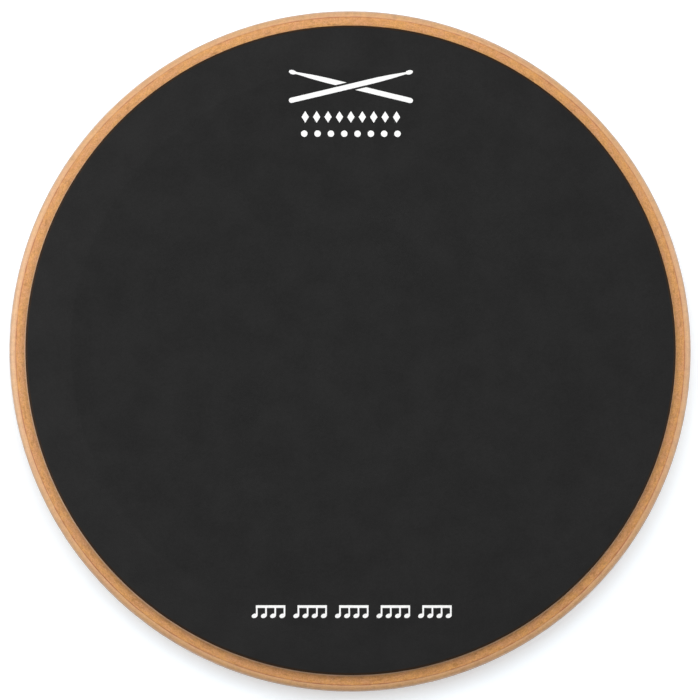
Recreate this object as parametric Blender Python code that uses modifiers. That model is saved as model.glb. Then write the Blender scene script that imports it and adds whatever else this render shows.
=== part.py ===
# A round drum practice pad. A thin playing skin is bonded over a rubber sheet, and the sheet to a
# round fibreboard base with a routed edge. The base stands on four screwed-on rubber feet, and a
# flanged nut let into its underside takes the threaded stud of a stand.
# Metres, +Z up. The origin is on the surface the pad stands on, under the pad's centre.

import math

import bmesh
import bpy
from mathutils import Matrix

# Driving dimensions of the pad
PAD_DIAMETER = 0.305
SURFACE_DIAMETER = 0.290
BOARD_THICKNESS = 0.018
RUBBER_THICKNESS = 0.004
SKIN_THICKNESS = 0.0012
FILM_THICKNESS = 0.0003
FOOT_HEIGHT = 0.009
CLEARANCE = 0.0003  # between pieces that touch or fit into each other

# Edges of the base board and of the layers on it
RIM_STEP = 0.0004  # drop that the router leaves beside the flat ring
RIM_ROUND = 0.003
UNDERSIDE_ROUND = 0.0015
SKIN_EDGE_ROUND = 0.0003
FILM_INSET = 0.001  # the bonding films end short of the edge

# Rubber feet, each held by a washer and a pan head screw
FOOT_COUNT = 4
FOOT_CIRCLE_RADIUS = 0.110
FOOT_FIRST_ANGLE = 45.0
FOOT_TOP_RADIUS = 0.012
FOOT_TREAD_RADIUS = 0.010
FOOT_TREAD_ROUND = 0.0008
FOOT_WELL_RADIUS = 0.0069
FOOT_WELL_DEPTH = 0.0053
WASHER_RADIUS = 0.0063
WASHER_THICKNESS = 0.001
FOOT_SCREW = {
    "shank_radius": 0.002,
    "head_radius": 0.004,
    "head_height": 0.0024,
    "length": 0.016,
    "tip_length": 0.003,
    "recess_width": 0.0044,
    "recess_slot": 0.0010,
    "recess_depth": 0.0014,
}

# Stand nut with an M8 bore, held by three countersunk screws
NUT_BORE_RADIUS = 0.004
NUT_BARREL_RADIUS = 0.0055
NUT_BARREL_LENGTH = 0.0115
NUT_FLANGE_RADIUS = 0.015
NUT_FLANGE_THICKNESS = 0.002
NUT_EDGE_ROUND = 0.0004
NUT_HOLE_DEPTH = 0.0145
NUT_SCREW_COUNT = 3
NUT_SCREW_CIRCLE_RADIUS = 0.0105
NUT_SCREW_FIRST_ANGLE = 90.0
NUT_SCREW_SINK = 0.0001  # the heads lie just inside the flange's face
NUT_SCREW = {
    "shank_radius": 0.0015,
    "head_radius": 0.0028,
    "head_height": 0.0013,
    "length": 0.012,
    "tip_length": 0.002,
    "recess_width": 0.0030,
    "recess_slot": 0.0007,
    "recess_depth": 0.0009,
}

# Facets round each kind of turned piece, points on an arc, and the angle of a sharp edge
BOARD_STEPS = 96
FITTING_STEPS = 40
SMALL_STEPS = 24
ARC_POINTS = 5
SHARP_ANGLE = math.radians(30)

# Base colour (linear), roughness and metallic of each finish
FINISHES = {
    "lacquered_fibreboard": ((0.665, 0.337, 0.136), 0.45, 0.0),
    "black_skin": ((0.021, 0.021, 0.021), 0.70, 0.0),
    "damping_rubber": ((0.018, 0.017, 0.016), 0.85, 0.0),
    "bonding_film": ((0.26, 0.20, 0.12), 0.50, 0.0),
    "foot_rubber": ((0.012, 0.012, 0.012), 0.75, 0.0),
    "zinc_plate": ((0.56, 0.57, 0.58), 0.35, 1.0),
    "screw_steel": ((0.50, 0.50, 0.50), 0.30, 1.0),
}


def clear_scene():
    for leftover in list(bpy.data.objects):
        bpy.data.objects.remove(leftover)


def make_collection(name):
    collection = bpy.data.collections.new(name)
    bpy.context.scene.collection.children.link(collection)
    return collection


def make_material(name):
    colour, roughness, metallic = FINISHES[name]
    material = bpy.data.materials.new(name)
    material.use_nodes = True
    shader = material.node_tree.nodes["Principled BSDF"]
    shader.inputs["Base Color"].default_value = (*colour, 1.0)
    shader.inputs["Roughness"].default_value = roughness
    shader.inputs["Metallic"].default_value = metallic
    return material


def arc(centre_r, centre_z, radius, start_degrees, end_degrees):
    """Points of an arc in the outline's plane, with angles counted from +r towards +z."""
    turn = (end_degrees - start_degrees) / (ARC_POINTS - 1)
    angles = [math.radians(start_degrees + turn * i) for i in range(ARC_POINTS)]
    return [(centre_r + radius * math.cos(a), centre_z + radius * math.sin(a)) for a in angles]


def circle_places(count, radius, first_degrees):
    """(x, y) of places spaced evenly round a circle."""
    angles = [math.radians(first_degrees + 360.0 * i / count) for i in range(count)]
    return [(radius * math.cos(a), radius * math.sin(a)) for a in angles]


def turned(outline, steps, collection, is_ring=False):
    """A solid of revolution. The outline runs down the outer side, from the top to the bottom."""
    edges = [(i, i + 1) for i in range(len(outline) - 1)]
    if is_ring:
        edges.append((len(outline) - 1, 0))
    mesh = bpy.data.meshes.new("outline")
    mesh.from_pydata([(r, 0.0, z) for r, z in outline], edges, [])
    pattern = bpy.data.objects.new("turned", mesh)
    collection.objects.link(pattern)
    screw = pattern.modifiers.new("Turn", "SCREW")
    screw.axis = "Z"
    screw.angle = math.tau
    screw.steps = steps
    screw.render_steps = steps
    screw.use_merge_vertices = True
    screw.merge_threshold = 0.00001
    return pattern


def block(size, centre, collection):
    """A box as a cutter."""
    mesh = bpy.data.meshes.new("block")
    shape = bmesh.new()
    bmesh.ops.create_cube(shape, size=1.0, matrix=Matrix.Diagonal((*size, 1.0)))
    shape.to_mesh(mesh)
    shape.free()
    cutter = bpy.data.objects.new("block", mesh)
    cutter.location = centre
    collection.objects.link(cutter)
    return cutter


def drill(radius, place, depth, collection):
    """A round cutter that goes depth up into a piece whose underside is at 0."""
    mesh = bpy.data.meshes.new("drill")
    shape = bmesh.new()
    bmesh.ops.create_cone(
        shape,
        cap_ends=True,
        segments=SMALL_STEPS,
        radius1=radius,
        radius2=radius,
        depth=2 * depth,
    )
    shape.to_mesh(mesh)
    shape.free()
    cutter = bpy.data.objects.new("drill", mesh)
    cutter.location = (*place, 0.0)
    collection.objects.link(cutter)
    return cutter


def cut(pattern, cutters):
    for number, cutter in enumerate(cutters, start=1):
        cutter.hide_render = True
        cutter.display_type = "WIRE"
        boolean = pattern.modifiers.new(f"Cut {number}", "BOOLEAN")
        boolean.operation = "DIFFERENCE"
        boolean.solver = "EXACT"
        boolean.object = cutter


def finished_mesh(pattern, material):
    """The mesh that a pattern's modifiers make, shaded smooth between its sharp edges.
    The pattern and its cutters are used up."""
    graph = bpy.context.evaluated_depsgraph_get()
    mesh = bpy.data.meshes.new_from_object(pattern.evaluated_get(graph))
    mesh.shade_smooth()
    mesh.set_sharp_from_angle(angle=SHARP_ANGLE)
    mesh.materials.clear()
    mesh.materials.append(material)
    cutters = [m.object for m in pattern.modifiers if m.type == "BOOLEAN"]
    for used in [pattern, *cutters]:
        bpy.data.objects.remove(used)
    return mesh


def board_outline():
    """Flat ring, small step and quarter round above; a smaller round below."""
    radius = PAD_DIAMETER / 2
    shoulder = BOARD_THICKNESS - RIM_STEP
    return [
        (0.0, BOARD_THICKNESS),
        (radius - RIM_ROUND, BOARD_THICKNESS),
        *arc(radius - RIM_ROUND, shoulder - RIM_ROUND, RIM_ROUND, 90, 0),
        *arc(radius - UNDERSIDE_ROUND, UNDERSIDE_ROUND, UNDERSIDE_ROUND, 0, -90),
        (0.0, 0.0),
    ]


def layer_outline(radius, thickness, edge_round=0.0):
    """A flat disc, with a small chamfer round its upper edge where edge_round isn't 0."""
    rim = [(radius - edge_round, thickness)] if edge_round else []
    return [
        (0.0, thickness),
        *rim,
        (radius, thickness - edge_round),
        (radius, 0.0),
        (0.0, 0.0),
    ]


def foot_outline():
    """A tapered bush with a well in its tread for the washer and the screw's head."""
    top = FOOT_HEIGHT - CLEARANCE
    bore = FOOT_SCREW["shank_radius"] + 2 * CLEARANCE
    return [
        (FOOT_TOP_RADIUS, top),
        *arc(FOOT_TREAD_RADIUS - FOOT_TREAD_ROUND, FOOT_TREAD_ROUND, FOOT_TREAD_ROUND, 0, -90),
        (FOOT_WELL_RADIUS, 0.0),
        (FOOT_WELL_RADIUS, FOOT_WELL_DEPTH),
        (bore, FOOT_WELL_DEPTH),
        (bore, top),
    ]


def washer_outline():
    bore = FOOT_SCREW["shank_radius"] + CLEARANCE
    return [
        (WASHER_RADIUS, WASHER_THICKNESS),
        (WASHER_RADIUS, 0.0),
        (bore, 0.0),
        (bore, WASHER_THICKNESS),
    ]


def nut_outline():
    """A flange with its face at 0, and a barrel that stands up from it."""
    barrel_top = NUT_FLANGE_THICKNESS + NUT_BARREL_LENGTH
    return [
        (NUT_BARREL_RADIUS, barrel_top),
        (NUT_BARREL_RADIUS, NUT_FLANGE_THICKNESS),
        (NUT_FLANGE_RADIUS, NUT_FLANGE_THICKNESS),
        (NUT_FLANGE_RADIUS, NUT_EDGE_ROUND),
        (NUT_FLANGE_RADIUS - NUT_EDGE_ROUND, 0.0),
        (NUT_BORE_RADIUS, 0.0),
        (NUT_BORE_RADIUS, barrel_top),
    ]


def nut_recess_outline():
    """The stepped hole in the board that the nut sits in."""
    flange = NUT_FLANGE_RADIUS + CLEARANCE
    barrel = NUT_BARREL_RADIUS + CLEARANCE
    roof = NUT_FLANGE_THICKNESS + CLEARANCE
    return [
        (0.0, NUT_HOLE_DEPTH),
        (barrel, NUT_HOLE_DEPTH),
        (barrel, roof),
        (flange, roof),
        (flange, -roof),
        (0.0, -roof),
    ]


def pan_head_outline(screw):
    """A screw that points up, with a low domed head below its bearing face at 0."""
    shank, head, height = screw["shank_radius"], screw["head_radius"], screw["head_height"]
    return [
        (0.0, screw["length"]),
        (shank, screw["length"] - screw["tip_length"]),
        (shank, 0.0),
        (head, 0.0),
        (head, -0.4 * height),
        (0.82 * head, -0.8 * height),
        (0.5 * head, -height),
        (0.0, -height),
    ]


def countersunk_outline(screw, extra=0.0):
    """A screw that points up, with its flat head's face at 0; extra widens it all round."""
    shank, head = screw["shank_radius"] + extra, screw["head_radius"] + extra
    return [
        (0.0, screw["length"]),
        (shank, screw["length"] - screw["tip_length"]),
        (shank, screw["head_height"]),
        (head, 0.0),
        (0.0, 0.0),
    ]


def cross_recess(screw, face, cutters):
    """Two crossed blocks that cut a screwdriver's recess up into a head whose face is at face."""
    width, slot, depth = screw["recess_width"], screw["recess_slot"], screw["recess_depth"]
    return [
        block((width, slot, 2 * depth), (0.0, 0.0, face), cutters),
        block((slot, width, 2 * depth), (0.0, 0.0, face), cutters),
    ]


def base_board(foot_places, nut_screw_places, material, cutters):
    pattern = turned(board_outline(), BOARD_STEPS, cutters)
    foot_pilot = FOOT_SCREW["shank_radius"] + CLEARANCE
    foot_depth = FOOT_WELL_DEPTH - WASHER_THICKNESS + FOOT_SCREW["length"] - FOOT_HEIGHT
    nut_pilot = NUT_SCREW["shank_radius"] + CLEARANCE
    nut_depth = NUT_SCREW_SINK + NUT_SCREW["length"] + CLEARANCE
    holes = [turned(nut_recess_outline(), FITTING_STEPS, cutters)]
    holes += [drill(foot_pilot, place, foot_depth, cutters) for place in foot_places]
    holes += [drill(nut_pilot, place, nut_depth, cutters) for place in nut_screw_places]
    cut(pattern, holes)
    return finished_mesh(pattern, material)


def stand_nut(nut_screw_places, material, cutters):
    pattern = turned(nut_outline(), FITTING_STEPS, cutters, is_ring=True)
    extra = CLEARANCE + NUT_SCREW_SINK
    countersinks = []
    for x, y in nut_screw_places:
        countersink = turned(countersunk_outline(NUT_SCREW, extra), SMALL_STEPS, cutters)
        countersink.location = (x, y, -NUT_SCREW_SINK)
        countersinks.append(countersink)
    cut(pattern, countersinks)
    return finished_mesh(pattern, material)


def foot_screw(material, cutters):
    pattern = turned(pan_head_outline(FOOT_SCREW), SMALL_STEPS, cutters)
    cut(pattern, cross_recess(FOOT_SCREW, -FOOT_SCREW["head_height"], cutters))
    return finished_mesh(pattern, material)


def nut_screw(material, cutters):
    pattern = turned(countersunk_outline(NUT_SCREW), SMALL_STEPS, cutters)
    cut(pattern, cross_recess(NUT_SCREW, 0.0, cutters))
    return finished_mesh(pattern, material)


def place(name, mesh, location, pad, parts):
    piece = bpy.data.objects.new(name, mesh)
    piece.location = location
    piece.parent = pad
    parts.objects.link(piece)


def place_ring(name, mesh, places, height, pad, parts):
    for number, (x, y) in enumerate(places, start=1):
        place(f"{name}_{number}", mesh, (x, y, height), pad, parts)


def place_layers(finishes, pad, parts, cutters):
    """The film, rubber, film and skin, stacked on the board a clearance apart."""
    radius = SURFACE_DIAMETER / 2
    film = layer_outline(radius - FILM_INSET, FILM_THICKNESS)
    rubber = layer_outline(radius, RUBBER_THICKNESS)
    skin = layer_outline(radius, SKIN_THICKNESS, SKIN_EDGE_ROUND)
    height = FOOT_HEIGHT + BOARD_THICKNESS
    for name, outline, thickness, finish in (
        ("rubber_bonding_film", film, FILM_THICKNESS, "bonding_film"),
        ("rubber_layer", rubber, RUBBER_THICKNESS, "damping_rubber"),
        ("skin_bonding_film", film, FILM_THICKNESS, "bonding_film"),
        ("playing_skin", skin, SKIN_THICKNESS, "black_skin"),
    ):
        mesh = finished_mesh(turned(outline, BOARD_STEPS, cutters), finishes[finish])
        place(name, mesh, (0.0, 0.0, height + CLEARANCE), pad, parts)
        height += CLEARANCE + thickness


def place_feet(foot_places, finishes, pad, parts, cutters):
    washer_height = FOOT_WELL_DEPTH - CLEARANCE - WASHER_THICKNESS
    foot = finished_mesh(
        turned(foot_outline(), FITTING_STEPS, cutters, is_ring=True), finishes["foot_rubber"]
    )
    washer = finished_mesh(
        turned(washer_outline(), SMALL_STEPS, cutters, is_ring=True), finishes["zinc_plate"]
    )
    screw = foot_screw(finishes["screw_steel"], cutters)
    place_ring("rubber_foot", foot, foot_places, 0.0, pad, parts)
    place_ring("foot_washer", washer, foot_places, washer_height, pad, parts)
    place_ring("foot_screw", screw, foot_places, washer_height - CLEARANCE, pad, parts)


def place_stand_nut(nut_screw_places, finishes, pad, parts, cutters):
    nut = stand_nut(nut_screw_places, finishes["zinc_plate"], cutters)
    screw = nut_screw(finishes["screw_steel"], cutters)
    place("stand_nut", nut, (0.0, 0.0, FOOT_HEIGHT), pad, parts)
    place_ring("nut_screw", screw, nut_screw_places, FOOT_HEIGHT + NUT_SCREW_SINK, pad, parts)


def build():
    clear_scene()
    parts = make_collection("practice_pad")
    cutters = make_collection("practice_pad_cutters")
    finishes = {name: make_material(name) for name in FINISHES}
    pad = bpy.data.objects.new("practice_pad_origin", None)
    parts.objects.link(pad)
    foot_places = circle_places(FOOT_COUNT, FOOT_CIRCLE_RADIUS, FOOT_FIRST_ANGLE)
    nut_screw_places = circle_places(
        NUT_SCREW_COUNT, NUT_SCREW_CIRCLE_RADIUS, NUT_SCREW_FIRST_ANGLE
    )
    board = base_board(
        foot_places, nut_screw_places, finishes["lacquered_fibreboard"], cutters
    )
    place("base_board", board, (0.0, 0.0, FOOT_HEIGHT), pad, parts)
    place_layers(finishes, pad, parts, cutters)
    place_feet(foot_places, finishes, pad, parts, cutters)
    place_stand_nut(nut_screw_places, finishes, pad, parts, cutters)


build()
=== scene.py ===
import math

import bmesh
import bpy
from mathutils import Matrix, Vector


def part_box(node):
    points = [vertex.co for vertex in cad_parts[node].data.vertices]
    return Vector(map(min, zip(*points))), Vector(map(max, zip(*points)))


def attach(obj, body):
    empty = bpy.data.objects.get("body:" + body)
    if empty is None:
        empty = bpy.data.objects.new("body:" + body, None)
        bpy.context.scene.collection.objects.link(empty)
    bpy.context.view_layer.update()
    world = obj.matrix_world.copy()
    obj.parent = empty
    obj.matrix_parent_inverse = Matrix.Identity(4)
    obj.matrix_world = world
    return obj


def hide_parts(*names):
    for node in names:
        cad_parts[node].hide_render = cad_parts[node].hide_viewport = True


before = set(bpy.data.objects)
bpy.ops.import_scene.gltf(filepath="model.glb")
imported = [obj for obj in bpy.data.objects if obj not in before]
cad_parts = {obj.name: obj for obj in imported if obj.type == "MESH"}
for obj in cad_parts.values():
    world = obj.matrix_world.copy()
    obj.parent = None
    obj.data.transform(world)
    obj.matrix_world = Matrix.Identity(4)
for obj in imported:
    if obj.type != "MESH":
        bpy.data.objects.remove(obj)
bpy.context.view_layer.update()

scene = bpy.context.scene
scene.view_settings.view_transform = "Standard"

mm = 0.001  # lengths are in metres
weldGap = 0.001 * mm
fineWeldGap = 0.0002 * mm
pieceFolder = bpy.data.collections.new("practicePad")
stageFolder = bpy.data.collections.new("studio")
scene.collection.children.link(pieceFolder)
scene.collection.children.link(stageFolder)

boardLow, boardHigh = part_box("base_board")
rubberLow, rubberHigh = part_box("rubber_layer")
skinLow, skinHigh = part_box("playing_skin")
nutLow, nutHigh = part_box("stand_nut")
boardRadius = boardHigh.x
skinRadius = skinHigh.x


# helpers that keep the node trees short
def addNode(tree, kind, **values):
    node = tree.nodes.new(kind)
    for name, value in values.items():
        setattr(node, name, value)
    return node


def plug(tree, socket, value):
    # a socket takes a fixed value or the output that feeds it
    if isinstance(value, bpy.types.NodeSocket):
        tree.links.new(value, socket)
    else:
        socket.default_value = value


def feed(tree, node, **links):
    # an underscore stands for a space in a socket's name
    for name, value in links.items():
        plug(tree, node.inputs[name.replace("_", " ")], value)
    return node


def calc(tree, operation, *values, clamp=False):
    node = addNode(tree, "ShaderNodeMath", operation=operation, use_clamp=clamp)
    for socket, value in zip(node.inputs, values):
        plug(tree, socket, value)
    return node.outputs[0]


def times(tree, first, second):
    return calc(tree, "MULTIPLY", first, second)


def splitVector(tree, vector):
    return feed(tree, addNode(tree, "ShaderNodeSeparateXYZ"), Vector=vector).outputs


def joinVector(tree, x=0.0, y=0.0, z=0.0):
    return feed(tree, addNode(tree, "ShaderNodeCombineXYZ"), X=x, Y=y, Z=z).outputs[0]


def groupTree(name, kind, inputs, outputs):
    tree = bpy.data.node_groups.new(name, kind)
    for label, socketKind, value in inputs:
        socket = tree.interface.new_socket(label, in_out="INPUT", socket_type=socketKind)
        if value is not None:
            socket.default_value = value
    for label, socketKind in outputs:
        tree.interface.new_socket(label, in_out="OUTPUT", socket_type=socketKind)
    return tree, tree.nodes.new("NodeGroupInput").outputs, tree.nodes.new("NodeGroupOutput")


def shapeTree(name, seed, **sizes):
    # a geometry tree whose inputs are a seed mesh, its sizes and a finish
    inputs = [(seed, "NodeSocketGeometry", None)]
    for label, value in sizes.items():
        socketKind = "NodeSocketInt" if isinstance(value, int) else "NodeSocketFloat"
        inputs.append((label.replace("_", " "), socketKind, value))
    inputs.append(("Finish", "NodeSocketMaterial", None))
    return groupTree(name, "GeometryNodeTree", inputs, [("Geometry", "NodeSocketGeometry")])


def closeTree(tree, given, result, shape):
    # every geometry tree ends in real faces with their finish on them
    solid = feed(tree, addNode(tree, "GeometryNodeRealizeInstances"), Geometry=shape)
    coated = feed(tree, addNode(tree, "GeometryNodeSetMaterial"),
                  Geometry=solid.outputs[0], Material=given["Finish"])
    feed(tree, result, Geometry=coated.outputs[0])
    return tree


def makeTurnTree():
    # a round piece: the outline's points are swept round the Z axis, then welded at seam and poles
    tree, given, result = shapeTree("turnedPiece", "Outline", Steps=96, Weld_Distance=weldGap)
    count = feed(tree, addNode(tree, "GeometryNodeAttributeDomainSize", component="MESH"),
                 Geometry=given["Outline"])
    rows = calc(tree, "ADD", given["Steps"], 1.0)
    grid = feed(tree, addNode(tree, "GeometryNodeMeshGrid"), Size_X=1.0, Size_Y=1.0,
                Vertices_X=count.outputs["Point Count"], Vertices_Y=rows)
    # the grid's points count round the piece first, then along the outline
    index = tree.nodes.new("GeometryNodeInputIndex").outputs[0]
    along = calc(tree, "FLOOR", calc(tree, "DIVIDE", index, rows))
    around = calc(tree, "SUBTRACT", index, times(tree, along, rows))
    angle = calc(tree, "DIVIDE", times(tree, around, math.tau), given["Steps"])
    sample = feed(tree, addNode(tree, "GeometryNodeSampleIndex", data_type="FLOAT_VECTOR", domain="POINT"),
                  Geometry=given["Outline"], Index=along,
                  Value=tree.nodes.new("GeometryNodeInputPosition").outputs[0])
    parts = splitVector(tree, sample.outputs[0])
    place = joinVector(tree, times(tree, parts["X"], calc(tree, "COSINE", angle)),
                       times(tree, parts["X"], calc(tree, "SINE", angle)), parts["Z"])
    moved = feed(tree, addNode(tree, "GeometryNodeSetPosition"),
                 Geometry=grid.outputs["Mesh"], Position=place)
    weld = feed(tree, addNode(tree, "GeometryNodeMergeByDistance"),
                Geometry=moved.outputs[0], Distance=given["Weld Distance"])
    return closeTree(tree, given, result, weld.outputs[0])


def makeRowTree():
    # copies of one mark, evenly spaced along X and centred on the origin
    tree, given, result = shapeTree("rowOfMarks", "Mark", Count=4, Spacing=10.0 * mm)
    first = times(tree, calc(tree, "SUBTRACT", given["Count"], 1.0), times(tree, given["Spacing"], -0.5))
    line = feed(tree, addNode(tree, "GeometryNodeMeshLine"), Count=given["Count"],
                Start_Location=joinVector(tree, first), Offset=joinVector(tree, given["Spacing"]))
    copies = feed(tree, addNode(tree, "GeometryNodeInstanceOnPoints"),
                  Points=line.outputs[0], Instance=given["Mark"])
    return closeTree(tree, given, result, copies.outputs[0])


def makeRingTree():
    # copies of one mark round the Z axis, each turned to face outwards
    tree, given, result = shapeTree("ringOfMarks", "Mark", Count=12, Radius=10.0 * mm)
    circle = feed(tree, addNode(tree, "GeometryNodeMeshCircle", fill_type="NONE"),
                  Vertices=given["Count"], Radius=given["Radius"])
    index = tree.nodes.new("GeometryNodeInputIndex").outputs[0]
    angle = calc(tree, "DIVIDE", times(tree, index, math.tau), given["Count"])
    copies = feed(tree, addNode(tree, "GeometryNodeInstanceOnPoints"), Points=circle.outputs[0],
                  Instance=given["Mark"], Rotation=joinVector(tree, z=angle))
    return closeTree(tree, given, result, copies.outputs[0])


def makeThreadTree():
    # a screw thread: a three-sided rib that climbs round the Z axis
    tree, given, result = shapeTree("screwThread", "Geometry", Radius=4.0 * mm, Pitch=1.25 * mm,
                                    Turns=8.0, Rib=0.5 * mm, Steps_Per_Turn=32)
    spiral = feed(tree, addNode(tree, "GeometryNodeCurveSpiral"), Resolution=given["Steps Per Turn"],
                  Rotations=given["Turns"], Start_Radius=given["Radius"],
                  End_Radius=given["Radius"], Height=times(tree, given["Pitch"], given["Turns"]))
    rib = feed(tree, addNode(tree, "GeometryNodeCurvePrimitiveCircle", mode="RADIUS"),
               Resolution=3, Radius=given["Rib"])
    sweep = feed(tree, addNode(tree, "GeometryNodeCurveToMesh"), Curve=spiral.outputs[0],
                 Profile_Curve=rib.outputs[0], Fill_Caps=True)
    return closeTree(tree, given, result, sweep.outputs[0])


turnTree = makeTurnTree()
rowTree = makeRowTree()
ringTree = makeRingTree()
threadTree = makeThreadTree()
print("node trees ready")


def grow(tree, seedMesh, **inputs):
    # runs a geometry tree on a seed mesh and returns the plain mesh it makes
    seed = bpy.data.objects.new("seed", seedMesh)
    pieceFolder.objects.link(seed)
    modifier = seed.modifiers.new("grow", "NODES")
    modifier.node_group = tree
    names = {item.name: item.identifier for item in tree.interface.items_tree
             if item.in_out == "INPUT"}
    for name, value in inputs.items():
        modifier[names[name.replace("_", " ")]] = value
    graph = bpy.context.evaluated_depsgraph_get()
    mesh = bpy.data.meshes.new_from_object(seed.evaluated_get(graph))
    bpy.data.objects.remove(seed)
    return mesh


def tidyMesh(mesh, weld=weldGap):
    shape = bmesh.new()
    shape.from_mesh(mesh)
    bmesh.ops.remove_doubles(shape, verts=shape.verts, dist=weld)
    bmesh.ops.dissolve_degenerate(shape, dist=weld / 2, edges=shape.edges)
    bmesh.ops.recalc_face_normals(shape, faces=shape.faces)
    shape.to_mesh(mesh)
    shape.free()
    return mesh


def arc(centreR, centreZ, radius, start, end, count=6):
    turns = [math.radians(start + (end - start) * i / (count - 1)) for i in range(count)]
    return [(centreR + radius * math.cos(t), centreZ + radius * math.sin(t)) for t in turns]


def turned(outline, steps, finish):
    # outline: (radius, height) points down the outer side
    seed = bpy.data.meshes.new("outline")
    seed.from_pydata([(r, 0, z) for r, z in outline], [(i, i + 1) for i in range(len(outline) - 1)], [])
    return tidyMesh(grow(turnTree, seed, Steps=steps, Finish=finish))


def slab(points, low, high):
    # a flat outline in XY, given thickness between two heights
    shape = bmesh.new()
    lower = [shape.verts.new((x, y, low)) for x, y in points]
    upper = [shape.verts.new((x, y, high)) for x, y in points]
    shape.faces.new(lower[::-1])
    shape.faces.new(upper)
    for i in range(len(points)):
        shape.faces.new((lower[i - 1], lower[i], upper[i], upper[i - 1]))
    bmesh.ops.recalc_face_normals(shape, faces=shape.faces)
    mesh = bpy.data.meshes.new("slab")
    shape.to_mesh(mesh)
    shape.free()
    return mesh


def joined(*meshes):
    shape = bmesh.new()
    for mesh in meshes:
        shape.from_mesh(mesh)
    whole = bpy.data.meshes.new("joined")
    shape.to_mesh(whole)
    shape.free()
    return whole


def carved(mesh, cutters, operation="DIFFERENCE"):
    # cuts the cutters out of a mesh, or with UNION fuses them to it
    body = bpy.data.objects.new("body", mesh)
    pieceFolder.objects.link(body)
    tools = []
    for cutter in cutters:
        tool = bpy.data.objects.new("tool", cutter)
        pieceFolder.objects.link(tool)
        modifier = body.modifiers.new("carve", "BOOLEAN")
        modifier.operation = operation
        modifier.solver = "EXACT"
        modifier.object = tool
        tools.append(tool)
    graph = bpy.context.evaluated_depsgraph_get()
    result = bpy.data.meshes.new_from_object(body.evaluated_get(graph))
    for used in [body, *tools]:
        bpy.data.objects.remove(used)
    return tidyMesh(result, fineWeldGap)


def shifted(mesh, offset):
    copy = mesh.copy()
    copy.transform(Matrix.Translation(offset))
    return copy


def addPiece(name, mesh, finish, standsFor=(), sharp=35):
    mesh = mesh.copy()
    mesh.name = name
    mesh.materials.clear()
    mesh.materials.append(finish)
    for polygon in mesh.polygons:
        polygon.material_index = 0
    mesh.shade_smooth()
    mesh.set_sharp_from_angle(angle=math.radians(sharp))
    piece = bpy.data.objects.new(name, mesh)
    pieceFolder.objects.link(piece)
    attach(piece, "root")
    if standsFor:
        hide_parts(*standsFor)


# masks and blends that the finishes are built from
def rangeMask(tree, value, start, full, low=0.0, high=1.0):
    # low at start and high at full, easing in and out between them
    node = feed(tree, addNode(tree, "ShaderNodeMapRange", interpolation_type="SMOOTHSTEP"),
                Value=value, From_Min=start, From_Max=full, To_Min=low, To_Max=high)
    return node.outputs["Result"]


def nearMask(tree, value, level, reaches):
    # reaches: how far past a level the mask starts, and how far past it the mask is full
    return rangeMask(tree, value, level + reaches[0], level + reaches[1])


def lineMask(tree, value, level, reach, core):
    # full within core of a level, fading out at reach on either side
    off = calc(tree, "ABSOLUTE", calc(tree, "SUBTRACT", value, level))
    return rangeMask(tree, off, reach, core)


def blendValue(tree, mask, low, high):
    node = feed(tree, addNode(tree, "ShaderNodeMapRange"), Value=mask, To_Min=low, To_Max=high)
    return node.outputs["Result"]


def blendColour(tree, mask, first, second):
    node = addNode(tree, "ShaderNodeMix", data_type="RGBA")
    plug(tree, node.inputs["Factor"], mask)
    for socket, colour in ((node.inputs["A"], first), (node.inputs["B"], second)):
        if isinstance(colour, tuple):
            colour = (*colour, 1)
        plug(tree, socket, colour)
    return node.outputs["Result"]


def makeRingCoords():
    # how far out and how far round the pad a point is, as a vector for patterns that follow the rim
    tree, given, result = groupTree(
        "roundThePad", "ShaderNodeTree",
        [("Position", "NodeSocketVector", None), ("Stretch", "NodeSocketFloat", 0.3)],
        [("Along Rim", "NodeSocketVector"), ("Radius", "NodeSocketFloat"),
         ("Height", "NodeSocketFloat")])
    x, y, z = splitVector(tree, given["Position"])
    radius = calc(tree, "SQRT", calc(tree, "ADD", times(tree, x, x), times(tree, y, y)))
    # points on a circle of reduced size, so that the pattern has no seam and is long round the rim
    safe = calc(tree, "MAXIMUM", radius, mm)
    circle = times(tree, given["Stretch"], boardRadius)
    rim = joinVector(tree, times(tree, calc(tree, "DIVIDE", x, safe), circle),
                     times(tree, calc(tree, "DIVIDE", y, safe), circle),
                     calc(tree, "ADD", radius, z))
    feed(tree, result, Along_Rim=rim, Radius=radius, Height=z)
    return tree


def makeMottle():
    # a soft cloudy or fibrous mask between 0 and 1
    tree, given, result = groupTree(
        "mottle", "ShaderNodeTree",
        [("Position", "NodeSocketVector", None), ("Scale", "NodeSocketFloat", 100.0),
         ("Detail", "NodeSocketFloat", 4.0), ("Low", "NodeSocketFloat", 0.35),
         ("High", "NodeSocketFloat", 0.65)],
        [("Mask", "NodeSocketFloat")])
    noise = feed(tree, addNode(tree, "ShaderNodeTexNoise"), Vector=given["Position"],
                 Scale=given["Scale"], Detail=given["Detail"], Roughness=0.6)
    feed(tree, result, Mask=rangeMask(tree, noise.outputs["Fac"], given["Low"], given["High"]))
    return tree


def makeGrit():
    # small round grains, for a pebbled or pitted surface
    tree, given, result = groupTree(
        "grit", "ShaderNodeTree",
        [("Position", "NodeSocketVector", None), ("Scale", "NodeSocketFloat", 900.0),
         ("Size", "NodeSocketFloat", 0.5)],
        [("Grains", "NodeSocketFloat"), ("Tone", "NodeSocketFloat")])
    cells = feed(tree, addNode(tree, "ShaderNodeTexVoronoi", feature="F1"),
                 Vector=given["Position"], Scale=given["Scale"])
    tone = feed(tree, addNode(tree, "ShaderNodeSeparateColor"), Color=cells.outputs["Color"])
    feed(tree, result, Grains=rangeMask(tree, cells.outputs["Distance"], given["Size"], 0.0),
         Tone=tone.outputs[0])
    return tree


ringCoords = makeRingCoords()
mottle = makeMottle()
grit = makeGrit()


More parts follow.
